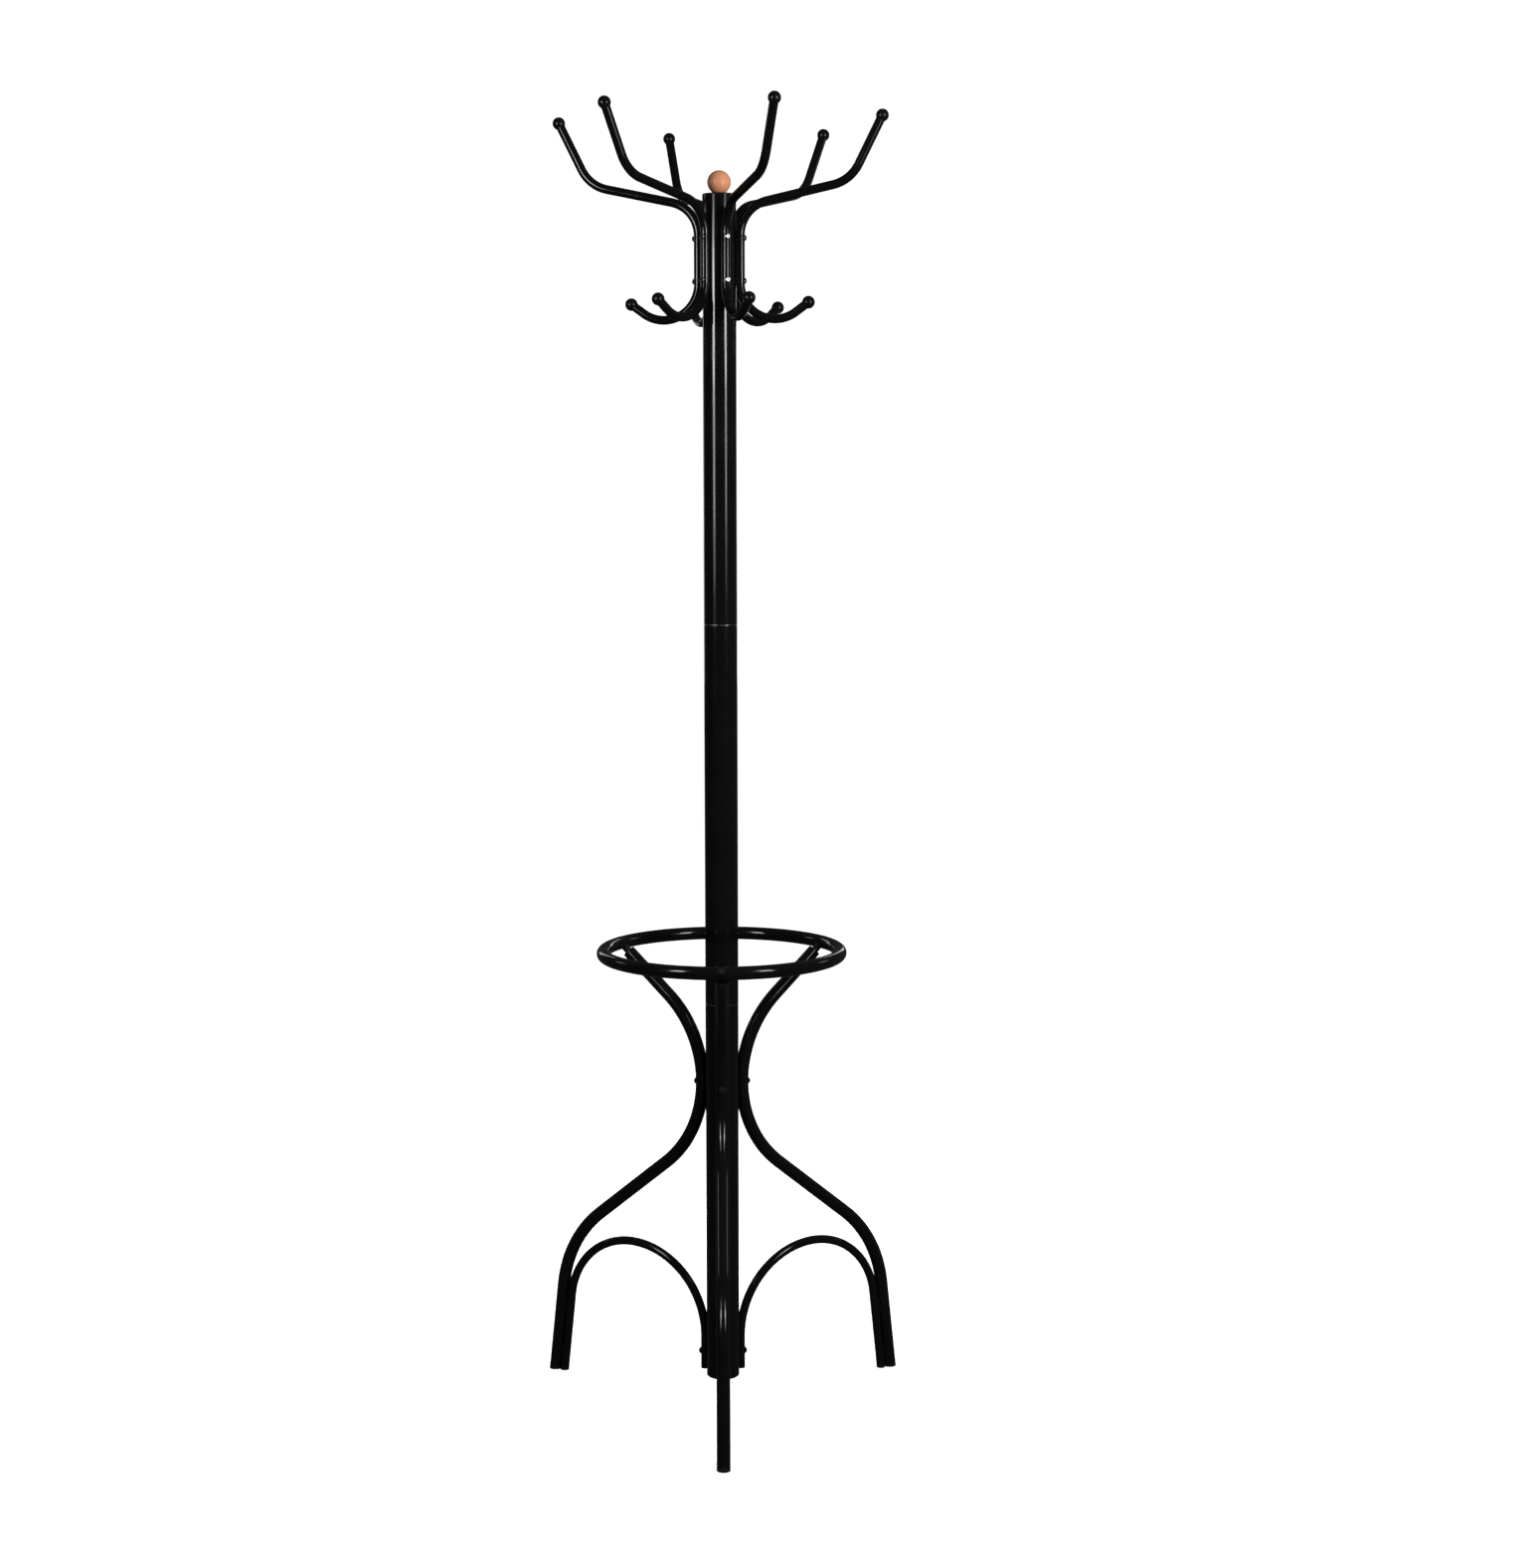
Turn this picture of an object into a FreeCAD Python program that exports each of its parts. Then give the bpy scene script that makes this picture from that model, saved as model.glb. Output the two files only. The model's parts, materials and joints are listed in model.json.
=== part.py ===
import FreeCAD, Part
import math
import os

import Sketcher
from FreeCAD import Placement, Rotation, Vector

# Standing coat rack: a three-piece tubular post on three bent legs, an umbrella ring,
# six double hooks and a turned wooden ball. Millimetres, +Z up, origin on the floor
# under the post's axis. One leg points along -Y.

DIMENSIONS = (
    ("contact_gap", 0.05, "play between tubes that lie against each other"),
    # post
    ("post_diameter", 45.0, "outside diameter of the post tubes"),
    ("post_wall", 1.2, "wall of the post tubes"),
    ("post_foot_height", 34.0, "underside of the post's bottom plug"),
    ("lower_joint_height", 558.0, "joint between the lower and middle tubes"),
    ("upper_joint_height", 1075.5, "joint between the middle and upper tubes"),
    ("post_top_height", 1645.0, "top face of the post's cap"),
    ("tube_end_chamfer", 0.4, "break on the outer rims of the post tubes"),
    # screwed joints inside the post
    ("bush_flange", 0.4, "thickness of the bush flange that shows at a joint"),
    ("bush_flange_diameter", 44.2, "outside diameter of that flange"),
    ("bush_length", 18.0, "depth of a bush inside its tube"),
    ("stud_diameter", 12.0, "threaded stud that joins two bushes"),
    ("stud_length", 34.0, "length of the stud"),
    ("insert_play", 0.05, "play around an insert in its tube"),
    # plug and cap of the post
    ("plug_flange", 4.0, "height of the bottom plug's flange"),
    ("plug_skirt", 14.0, "depth of plug and cap skirts in the tube"),
    ("plug_wall", 2.0, "wall of the plug and cap skirts"),
    ("plug_rim_round", 1.5, "break on the plug's lower rim"),
    ("cap_flange", 1.5, "thickness of the cap on the tube's end"),
    ("cap_boss_diameter", 14.0, "boss around the finial screw"),
    ("cap_boss_depth", 8.0, "depth of that boss below the flange"),
    # finial
    ("finial_diameter", 31.5, "turned wooden ball"),
    ("finial_flat_diameter", 10.0, "flat that the ball stands on"),
    ("finial_screw_diameter", 4.0, "wood screw up into the ball"),
    ("finial_screw_length", 26.0, "length of that screw under its head"),
    ("finial_screw_head", 8.0, "diameter of its head"),
    ("finial_screw_head_height", 2.6, "height of its head"),
    # legs
    ("leg_count", 3, "legs round the post"),
    ("leg_diameter", 18.0, "leg tube"),
    ("leg_wall", 1.2, "wall of the leg tube"),
    ("leg_waist_height", 446.0, "height where a leg touches the post"),
    ("leg_upper_bend", 153.85, "bend radius above the waist"),
    ("leg_upper_angle", 49.246, "bend angle above the waist"),
    ("leg_upper_run", 81.98, "straight run up towards the ring"),
    ("leg_lower_bend", 153.4, "bend radius below the waist"),
    ("leg_lower_angle", 51.5, "bend angle below the waist"),
    ("leg_lower_run", 142.08, "straight run down to the knee"),
    ("leg_knee_bend", 166.6, "bend radius of the knee"),
    ("leg_knee_angle", 44.7, "bend angle of the knee"),
    ("leg_foot_run", 123.54, "straight run from the knee to the foot cap"),
    # braces
    ("brace_diameter", 12.0, "brace tube"),
    ("brace_wall", 1.0, "wall of the brace tube"),
    ("brace_end_height", 42.0, "inner end of a brace"),
    ("brace_inner_run", 44.0, "straight run up along the post"),
    ("brace_inner_bend", 118.4, "inner radius of the arch"),
    ("brace_outer_bend", 102.5, "outer radius of the arch"),
    ("brace_outer_angle", 83.2, "bend angle of the outer radius"),
    ("brace_foot_run", 110.89, "straight run down to the foot cap"),
    ("brace_screw_height", 64.0, "screw through the brace into the post"),
    # umbrella ring
    ("ring_radius", 161.5, "centreline radius of the umbrella ring"),
    ("ring_height", 628.5, "centreline height of the umbrella ring"),
    ("ring_tube", 18.0, "tube of the ring"),
    ("ring_wall", 1.2, "wall of that tube"),
    ("ring_spacer_length", 8.0, "saddle spacer between a leg's end and the ring"),
    ("ring_spacer_diameter", 10.0, "outside diameter of that spacer"),
    ("ring_plug_diameter", 10.0, "hole and plug over the head of a ring screw"),
    ("ring_plug_depth", 6.0, "depth of that plug in the ring"),
    ("ring_plug_proud", 0.2, "how far its face stands out"),
    # hooks
    ("hook_count", 6, "double hooks round the post"),
    ("hook_azimuth", -71.5, "angle of the first hook from +X"),
    ("hook_diameter", 12.0, "hook tube"),
    ("hook_wall", 1.0, "wall of the hook tube"),
    ("hook_middle_height", 1559.0, "middle of the straight stem"),
    ("hook_screw_spacing", 56.0, "distance between a hook's two screws"),
    ("hook_stem_up", 32.0, "stem above its middle"),
    ("hook_arm_bend", 45.0, "bend radius out to the arm"),
    ("hook_arm_angle", 78.0, "bend angle out to the arm"),
    ("hook_arm_run", 90.5, "straight run of the arm"),
    ("hook_tip_bend", 50.0, "bend radius up to the tip"),
    ("hook_tip_angle", 51.3, "bend angle up to the tip"),
    ("hook_tip_run", 62.5, "straight run of the tip"),
    ("hook_stem_down", 31.2, "stem below its middle"),
    ("hook_crook_bend", 47.0, "bend radius of the lower hook"),
    ("hook_crook_angle", 126.0, "bend angle of the lower hook"),
    ("hook_crook_run", 14.8, "straight run of the lower hook's tip"),
    ("ball_diameter", 17.0, "ball on each hook end"),
    # caps and fasteners
    ("spigot_depth", 12.0, "depth of a cap's spigot in its tube"),
    ("foot_cap_height", 4.0, "foot cap between the tube and the floor"),
    ("end_cap_height", 2.0, "cap on a brace's inner end or a leg's upper end"),
    ("screw_play", 0.4, "diametral play of a screw in a tube"),
    ("small_screw", 4.0, "thread of a hook screw"),
    ("small_screw_head", 7.6, "head diameter of a hook screw"),
    ("small_screw_head_height", 2.2, "head height of a hook screw"),
    ("small_screw_length", 20.0, "length of a hook screw under its head"),
    ("small_socket", 2.9, "hexagon socket across its corners"),
    ("large_screw", 5.0, "thread of a leg, brace or ring screw"),
    ("large_screw_head", 9.5, "head diameter of such a screw"),
    ("large_screw_head_height", 2.75, "head height of such a screw"),
    ("leg_screw_length", 28.0, "length of a leg screw under its head"),
    ("brace_screw_length", 24.0, "length of a brace screw under its head"),
    ("ring_screw_length", 23.0, "length of a ring screw under its head"),
    ("large_socket", 3.5, "hexagon socket across its corners"),
    ("socket_depth", 1.4, "depth of a hexagon socket"),
    ("head_crown", 0.6, "flat top of a head, as a share of its radius"),
    ("head_shoulder_radius", 0.9, "shoulder of a head, as a share of its radius"),
    ("head_shoulder_height", 0.55, "shoulder of a head, as a share of its height"),
    ("head_rim_height", 0.15, "upright rim of a head, as a share of its height"),
    ("point_length", 0.6, "point of a screw, as a share of its thread's radius"),
    ("point_radius", 0.5, "end of that point, as a share of the same radius"),
    ("thread_runout", 0.5, "tapped depth past a screw's end"),
    ("rivet_nut_wall", 1.0, "wall of a rivet nut round its thread"),
    ("rivet_nut_length", 11.0, "length of a rivet nut"),
    ("rivet_nut_bulge", 1.0, "how far its crimp stands out"),
    ("rivet_nut_crimp", 3.0, "length of its crimp"),
    ("rivet_nut_standoff", 0.7, "crimp's distance from the crown of the wall"),
    ("rivet_nut_recess", 0.2, "its face below the post's surface"),
)

UP = Vector(0, 0, 1)
SIDEWAYS = Vector(0, 1, 0)
LEG_AZIMUTHS = {"front": -90.0, "right": 30.0, "left": 150.0}
RING_SEAM_AZIMUTH = 90.0

doc = FreeCAD.newDocument("CoatRack")
sheet = doc.addObject("Spreadsheet::Sheet", "Dimensions")
for row, (alias, number, note) in enumerate(DIMENSIONS, start=1):
    sheet.set(f"A{row}", note)
    sheet.set(f"B{row}", str(number))
    sheet.setAlias(f"B{row}", alias)
doc.recompute()
nodes = []


class Size:
    """A number together with the spreadsheet expression that gives it."""

    def __init__(self, text, value):
        self.text = text
        self.value = value

    def joined(self, sign, other):
        if not isinstance(other, Size):
            other = Size(str(other), float(other))
        results = {
            "+": self.value + other.value,
            "-": self.value - other.value,
            "*": self.value * other.value,
            "/": self.value / (other.value or 1.0),
        }
        return Size(f"({self.text} {sign} {other.text})", results[sign])

    def __add__(self, other):
        return self.joined("+", other)

    def __sub__(self, other):
        return self.joined("-", other)

    def __mul__(self, other):
        return self.joined("*", other)

    def __truediv__(self, other):
        return self.joined("/", other)

    def __neg__(self):
        return self.joined("*", -1)


ZERO = Size("0", 0.0)


def size(alias):
    """The driving dimension of that name."""
    return Size(f"Dimensions.{alias}", float(sheet.get(alias)))


def bind(thing, name, amount):
    """Tie a property of an object, or a named constraint of a sketch, to the sheet."""
    thing.setExpression(name, amount.text)


# ---------------------------------------------------------------- bodies and sketches


def new_body(label):
    body = doc.addObject("PartDesign::Body", label)
    body.Label = label
    return body


def keep(node, label):
    """Name an object as a finished sub-part."""
    node.Label = label
    nodes.append(node)
    return node


def origin_feature(body, role):
    for feature in body.Origin.OriginFeatures:
        if feature.Role == role:
            return feature
    raise ValueError(f"{body.Label} has no {role}")


def new_sketch(body, name, role):
    sketch = body.newObject("Sketcher::SketchObject", name)
    sketch.AttachmentSupport = [(origin_feature(body, role), "")]
    sketch.MapMode = "FlatFace"
    return sketch


def dimension(sketch, kind, *where, amount, unit=""):
    """Add a driving constraint and tie it to the sheet."""
    value = math.radians(amount.value) if kind == "Angle" else amount.value
    index = sketch.addConstraint(Sketcher.Constraint(kind, *where, value))
    name = f"{kind.lower()}_{index}"
    sketch.renameConstraint(index, name)
    sketch.setExpression(f"Constraints.{name}", amount.text + unit)


def fix_point(sketch, geometry, point, across, along):
    """Place a point of the sketch by its two coordinates."""
    if across.value == 0.0:
        sketch.addConstraint(Sketcher.Constraint("PointOnObject", geometry, point, -2))
    else:
        dimension(sketch, "DistanceX", -1, 1, geometry, point, amount=across)
    if along.value == 0.0:
        sketch.addConstraint(Sketcher.Constraint("PointOnObject", geometry, point, -1))
    else:
        dimension(sketch, "DistanceY", -1, 1, geometry, point, amount=along)


def add_circle(sketch, diameter, across=ZERO, along=ZERO):
    centre = Vector(across.value, along.value, 0)
    circle = sketch.addGeometry(Part.Circle(centre, UP, diameter.value / 2))
    fix_point(sketch, circle, 3, across, along)
    dimension(sketch, "Diameter", circle, amount=diameter)


def add_tube_section(sketch, diameter, wall):
    add_circle(sketch, diameter)
    add_circle(sketch, diameter - wall * 2)


def add_outline(sketch, corners):
    """Closed outline of straight edges through corners given as (across, along)."""
    points = [Vector(across.value, along.value, 0) for across, along in corners]
    first = sketch.GeometryCount
    for index, point in enumerate(points):
        following = points[(index + 1) % len(points)]
        sketch.addGeometry(Part.LineSegment(point, following))
    for index, (across, along) in enumerate(corners):
        line = first + index
        previous = first + (index - 1) % len(corners)
        sketch.addConstraint(Sketcher.Constraint("Coincident", previous, 2, line, 1))
        fix_point(sketch, line, 1, across, along)


def add_hexagon(sketch, across_corners):
    """Regular hexagon centred on the sketch's origin."""
    radius = across_corners.value / 2
    turns = [math.radians(60 * index) for index in range(6)]
    points = [Vector(radius * math.cos(turn), radius * math.sin(turn), 0) for turn in turns]
    guide = sketch.addGeometry(Part.Circle(Vector(), UP, radius), True)
    sketch.addConstraint(Sketcher.Constraint("Coincident", guide, 3, -1, 1))
    dimension(sketch, "Diameter", guide, amount=across_corners)
    sides = [
        sketch.addGeometry(Part.LineSegment(points[index], points[(index + 1) % 6]))
        for index in range(6)
    ]
    for index, side in enumerate(sides):
        sketch.addConstraint(Sketcher.Constraint("Coincident", sides[index - 1], 2, side, 1))
        sketch.addConstraint(Sketcher.Constraint("PointOnObject", side, 1, guide))
        if index:
            sketch.addConstraint(Sketcher.Constraint("Equal", sides[0], side))
    sketch.addConstraint(Sketcher.Constraint("PointOnObject", sides[0], 1, -1))


def revolve(body, profile, axis):
    """Turn a profile sketch about its own horizontal or vertical axis."""
    turned = body.newObject("PartDesign::Revolution", "Turned")
    turned.Profile = profile
    turned.ReferenceAxis = (profile, [axis])
    turned.Angle = 360.0
    doc.recompute()
    return turned


def pattern_round_post(body, features, count):
    """Repeat features evenly about the body's vertical axis."""
    pattern = body.newObject("PartDesign::PolarPattern", "RoundPost")
    pattern.Originals = features
    pattern.Axis = (origin_feature(body, "Z_Axis"), [""])
    pattern.Angle = 360.0
    bind(pattern, "Occurrences", count)
    body.Tip = pattern
    doc.recompute()
    return pattern


def in_leg_plane(azimuth, across, height, lean=0.0):
    """Placement in the vertical plane at an azimuth; lean tips +Z outward, in degrees."""
    turn = Placement(Vector(), Rotation(UP, azimuth))
    return turn * Placement(Vector(across, 0, height), Rotation(SIDEWAYS, lean))


# ---------------------------------------------------------------- bent tubes


class Run:
    """A straight stretch of a bent tube."""

    def __init__(self, length):
        self.length = length


class Bend:
    """A bend of a tube: side is +1 to the left of the heading, -1 to the right."""

    def __init__(self, radius, angle, side):
        self.radius = radius
        self.angle = angle
        self.side = side


def follow(heading, steps):
    """Yield each step with its start, heading before it, end and heading after it."""
    point = Vector()
    for step in steps:
        start, before = point, heading
        ahead = Vector(math.cos(math.radians(heading)), math.sin(math.radians(heading)), 0)
        if isinstance(step, Run):
            point = start + ahead * step.length.value
        else:
            heading = before + step.side * step.angle.value
            inward = Vector(-ahead.y, ahead.x, 0) * step.side
            centre = start + inward * step.radius.value
            outward = math.radians(heading - step.side * 90)
            arm = Vector(math.cos(outward), math.sin(outward), 0)
            point = centre + arm * step.radius.value
        yield step, start, before, point, heading


def path_end(heading, steps):
    """Where a path ends, as (across, up, heading)."""
    *_, (_, _, _, point, last_heading) = follow(heading, steps)
    return point.x, point.y, last_heading


def add_path(sketch, heading, steps):
    """Draw the centreline of a bent tube from the sketch's origin."""
    joint = None
    for step, start, before, end, after in follow(heading, steps):
        if isinstance(step, Run):
            line = sketch.addGeometry(Part.LineSegment(start, end))
            dimension(sketch, "Distance", line, amount=step.length)
            entry, leave = (line, 1), (line, 2)
        else:
            first, last = sorted((before - step.side * 90, after - step.side * 90))
            inward = math.radians(before + step.side * 90)
            reach = Vector(math.cos(inward), math.sin(inward), 0) * step.radius.value
            circle = Part.Circle(start + reach, UP, step.radius.value)
            curve = Part.ArcOfCircle(circle, math.radians(first), math.radians(last))
            arc = sketch.addGeometry(curve)
            dimension(sketch, "Radius", arc, amount=step.radius)
            dimension(sketch, "Angle", arc, amount=step.angle, unit=" * 1 deg")
            ends = ((arc, 1), (arc, 2))
            entry, leave = ends if step.side > 0 else ends[::-1]
        if joint:
            sketch.addConstraint(Sketcher.Constraint("Tangent", *joint, *entry))
        else:
            sketch.addConstraint(Sketcher.Constraint("Coincident", *entry, -1, 1))
            if isinstance(step, Run):
                sketch.addConstraint(Sketcher.Constraint("Vertical", entry[0]))
            else:
                sketch.addConstraint(Sketcher.Constraint("PointOnObject", entry[0], 3, -1))
        joint = leave


def bent_tube(label, diameter, wall, paths):
    """Tube whose paths leave the origin up (heading 90) or down (heading -90)."""
    body = new_body(label)
    for heading, steps in paths:
        section = new_sketch(body, "Section", "XY_Plane")
        add_tube_section(section, diameter, wall)
        centreline = new_sketch(body, "Centreline", "XZ_Plane")
        add_path(centreline, heading, steps)
        sweep = body.newObject("PartDesign::AdditivePipe", "BentTube")
        sweep.Profile = section
        sweep.Spine = centreline
        doc.recompute()
    return body


def cross_drill(body, diameter, heights):
    """Drill straight through the tube along its plane at heights from its origin."""
    holes = new_sketch(body, "ScrewHoles", "YZ_Plane")
    for height in heights:
        add_circle(holes, diameter, ZERO, height)
    pocket = body.newObject("PartDesign::Pocket", "ScrewHoles")
    pocket.Profile = holes
    pocket.Midplane = True
    bind(pocket, "Length", size("leg_diameter") * 2)
    doc.recompute()


# ---------------------------------------------------------------- post


def post_tube(label, bottom, top, azimuth, count, holes):
    """One length of the post; holes lists (height, diameter) of its ring of holes."""
    body = new_body(label)
    section = new_sketch(body, "Section", "XY_Plane")
    add_tube_section(section, size("post_diameter"), size("post_wall"))
    tube = body.newObject("PartDesign::Pad", "Tube")
    tube.Profile = section
    bind(tube, "Length", top - bottom)
    doc.recompute()
    rims = [
        f"Edge{number}"
        for number, edge in enumerate(tube.Shape.Edges, start=1)
        if isinstance(edge.Curve, Part.Circle)
        and abs(edge.Curve.Radius - size("post_diameter").value / 2) < 0.01
    ]
    breaks = body.newObject("PartDesign::Chamfer", "RimBreaks")
    breaks.Base = (tube, rims)
    bind(breaks, "Size", size("tube_end_chamfer"))
    doc.recompute()
    if holes:
        drill = new_sketch(body, "NutHoles", "YZ_Plane")
        for height, diameter in holes:
            add_circle(drill, diameter, ZERO, height - bottom)
        pocket = body.newObject("PartDesign::Pocket", "NutHoles")
        pocket.Profile = drill
        pocket.Reversed = True
        bind(pocket, "Length", size("post_diameter"))
        doc.recompute()
        pattern_round_post(body, [pocket], count)
    body.Placement = Placement(Vector(0, 0, bottom.value), Rotation(UP, azimuth))
    return keep(body, label)


def turned_piece(label, corners, height):
    """Piece turned about the post's axis from an outline of (radius, height) corners."""
    body = new_body(label)
    profile = new_sketch(body, "Profile", "XZ_Plane")
    add_outline(profile, corners)
    revolve(body, profile, "V_Axis")
    body.Placement = Placement(Vector(0, 0, height.value), Rotation())
    return keep(body, label)


def make_post():
    lower_joint = size("lower_joint_height")
    upper_joint = size("upper_joint_height")
    flange = size("bush_flange")
    tube_foot = size("post_foot_height") + size("plug_flange")
    tube_top = size("post_top_height") - size("cap_flange")
    nut_hole = {
        name: size(name) + size("rivet_nut_wall") * 2 + size("insert_play") * 2
        for name in ("small_screw", "large_screw")
    }
    half_spacing = size("hook_screw_spacing") / 2
    leg_holes = (
        (size("leg_waist_height"), nut_hole["large_screw"]),
        (size("brace_screw_height"), nut_hole["large_screw"]),
    )
    hook_holes = (
        (size("hook_middle_height") - half_spacing, nut_hole["small_screw"]),
        (size("hook_middle_height") + half_spacing, nut_hole["small_screw"]),
    )
    front = LEG_AZIMUTHS["front"]
    first_hook = size("hook_azimuth").value
    post_tube("post_lower", tube_foot, lower_joint - flange, front, size("leg_count"), leg_holes)
    post_tube("post_middle", lower_joint + flange, upper_joint - flange, 0.0, None, ())
    post_tube(
        "post_upper", upper_joint + flange, tube_top, first_hook, size("hook_count"), hook_holes
    )


def make_joints():
    """Two flanged bushes and a stud at each joint of the post."""
    bore = size("stud_diameter") / 2 + size("insert_play")
    flange_radius = size("bush_flange_diameter") / 2
    bush_radius = size("post_diameter") / 2 - size("post_wall") - size("insert_play")
    flange = size("bush_flange")
    depth = size("bush_length")
    upright = (
        (bore, ZERO),
        (flange_radius, ZERO),
        (flange_radius, flange),
        (bush_radius, flange),
        (bush_radius, depth),
        (bore, depth),
    )
    hanging = [(radius, -along) for radius, along in upright]
    stud_radius = size("stud_diameter") / 2
    half_stud = size("stud_length") / 2
    lead = size("bush_flange") * 2
    stud = (
        (ZERO, -half_stud),
        (stud_radius - lead, -half_stud),
        (stud_radius, lead - half_stud),
        (stud_radius, half_stud - lead),
        (stud_radius - lead, half_stud),
        (ZERO, half_stud),
    )
    for name in ("lower", "upper"):
        height = size(f"{name}_joint_height")
        turned_piece(f"{name}_joint_bush_below", hanging, height)
        turned_piece(f"{name}_joint_bush_above", upright, height)
        turned_piece(f"{name}_joint_stud", stud, height)


def make_post_ends():
    """Plug under the post, and the cap, screw and wooden ball on top of it."""
    rim = size("post_diameter") / 2
    skirt = rim - size("post_wall") - size("insert_play")
    inner = skirt - size("plug_wall")
    floor = size("plug_wall")
    flange = size("plug_flange")
    skirt_end = flange + size("plug_skirt")
    edge = size("plug_rim_round")
    plug = (
        (ZERO, ZERO),
        (rim - edge, ZERO),
        (rim, edge),
        (rim, flange),
        (skirt, flange),
        (skirt, skirt_end),
        (inner, skirt_end),
        (inner, floor),
        (ZERO, floor),
    )
    turned_piece("post_bottom_plug", plug, size("post_foot_height"))

    hole = size("finial_screw_diameter") / 2 + size("insert_play")
    boss = size("cap_boss_diameter") / 2
    lid = size("cap_flange")
    depth = size("cap_boss_depth")
    bevel = lid / 2
    cap = (
        (hole, lid),
        (rim - bevel, lid),
        (rim, bevel),
        (rim, ZERO),
        (skirt, ZERO),
        (skirt, -size("plug_skirt")),
        (inner, -size("plug_skirt")),
        (inner, -size("plug_wall")),
        (boss, -size("plug_wall")),
        (boss, -depth),
        (hole, -depth),
    )
    turned_piece("post_top_cap", cap, size("post_top_height") - lid)

    shank = size("finial_screw_diameter") / 2
    head = size("finial_screw_head") / 2
    head_height = size("finial_screw_head_height")
    length = size("finial_screw_length")
    screw = (
        (ZERO, -head_height),
        (head - shank / 2, -head_height),
        (head, -head_height / 2),
        (head, ZERO),
        (shank, ZERO),
        (shank, length - shank * 2),
        (ZERO, length),
    )
    turned_piece("finial_screw", screw, size("post_top_height") - lid - depth)

    ball = doc.addObject("Part::Sphere", "finial_sphere")
    bind(ball, "Radius", size("finial_diameter") / 2)
    ratio = size("finial_flat_diameter") / size("finial_diameter")
    ball.setExpression("Angle1", f"-acos({ratio.text})")
    ball_rise = math.sqrt(1 - ratio.value**2) * size("finial_diameter").value / 2
    ball_centre = size("post_top_height").value + ball_rise
    ball.Placement = Placement(Vector(0, 0, ball_centre), Rotation())
    drill = doc.addObject("Part::Cylinder", "finial_drill")
    bind(drill, "Radius", hole)
    bind(drill, "Height", length)
    drill.Placement = Placement(
        Vector(0, 0, (size("post_top_height") - lid - depth).value), Rotation()
    )
    drilled = doc.addObject("Part::Cut", "finial_ball")
    drilled.Base = ball
    drilled.Tool = drill
    keep(drilled, "finial_ball")


# ---------------------------------------------------------------- caps on tube ends


def spigot_radius(diameter, wall):
    return diameter / 2 - wall - size("insert_play")


def add_spigot(label, diameter, wall, place):
    """Plain plug inside a tube's end, reaching just into the head outside it."""
    spigot = doc.addObject("Part::Cylinder", f"{label}_spigot")
    bind(spigot, "Radius", spigot_radius(diameter, wall))
    bind(spigot, "Height", size("spigot_depth") + size("end_cap_height") / 2)
    inside = Placement(Vector(0, 0, -size("spigot_depth").value), Rotation())
    spigot.Placement = place * inside
    return spigot


def fused(label, *pieces):
    whole = doc.addObject("Part::MultiFuse", label)
    whole.Shapes = list(pieces)
    return whole


def ball_cap(label, ball_diameter, diameter, wall, place):
    """Ball on a tube's end, cut flat where the tube butts on it."""
    ball = doc.addObject("Part::Sphere", f"{label}_sphere")
    bind(ball, "Radius", ball_diameter / 2)
    ratio = diameter / ball_diameter
    ball.setExpression("Angle1", f"-acos({ratio.text})")
    rise = math.sqrt(max(0.0, 1 - ratio.value**2)) * ball_diameter.value / 2
    ball.Placement = place * Placement(Vector(0, 0, rise), Rotation())
    spigot = add_spigot(label, diameter, wall, place)
    return fused(label, ball, spigot)


def flat_cap(label, height, diameter, wall, place):
    """Disc on a tube's end with a spigot in it."""
    head = doc.addObject("Part::Cylinder", f"{label}_head")
    bind(head, "Radius", diameter / 2)
    bind(head, "Height", height)
    head.Placement = place
    spigot = add_spigot(label, diameter, wall, place)
    return fused(label, head, spigot)


def foot_cap(label, diameter, wall, place):
    """Cap that carries a slanted tube end on the floor, trimmed level at the floor."""
    cap = flat_cap(f"{label}_blank", size("foot_cap_height") * 2, diameter, wall, place)
    ground = doc.addObject("Part::Box", f"{label}_ground")
    for side in ("Length", "Width"):
        bind(ground, side, diameter * 4)
    bind(ground, "Height", diameter)
    half = (diameter * 2).value
    middle = place.Base
    corner = Vector(middle.x - half, middle.y - half, -diameter.value)
    ground.Placement = Placement(corner, Rotation())
    level = doc.addObject("Part::Cut", label)
    level.Base = cap
    level.Tool = ground
    return keep(level, label)


# ---------------------------------------------------------------- legs, braces and ring


def leg_across():
    return size("post_diameter") / 2 + size("leg_diameter") / 2 + size("contact_gap")


def brace_across():
    return size("post_diameter") / 2 + size("brace_diameter") / 2 + size("contact_gap")


def hook_across():
    return size("post_diameter") / 2 + size("hook_diameter") / 2 + size("contact_gap")


def leg_paths():
    upward = (
        Bend(size("leg_upper_bend"), size("leg_upper_angle"), -1),
        Run(size("leg_upper_run")),
    )
    downward = (
        Bend(size("leg_lower_bend"), size("leg_lower_angle"), +1),
        Run(size("leg_lower_run")),
        Bend(size("leg_knee_bend"), size("leg_knee_angle"), -1),
        Run(size("leg_foot_run")),
    )
    return (90.0, upward), (-90.0, downward)


def brace_path():
    return 90.0, (
        Run(size("brace_inner_run")),
        Bend(size("brace_inner_bend"), Size("90", 90.0), -1),
        Bend(size("brace_outer_bend"), size("brace_outer_angle"), -1),
        Run(size("brace_foot_run")),
    )


def end_place(azimuth, across, height, path):
    """Placement of a cap on the end of a path that starts at (across, height)."""
    out, rise, heading = path_end(*path)
    return in_leg_plane(azimuth, across.value + out, height.value + rise, 90 - heading)


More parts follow.
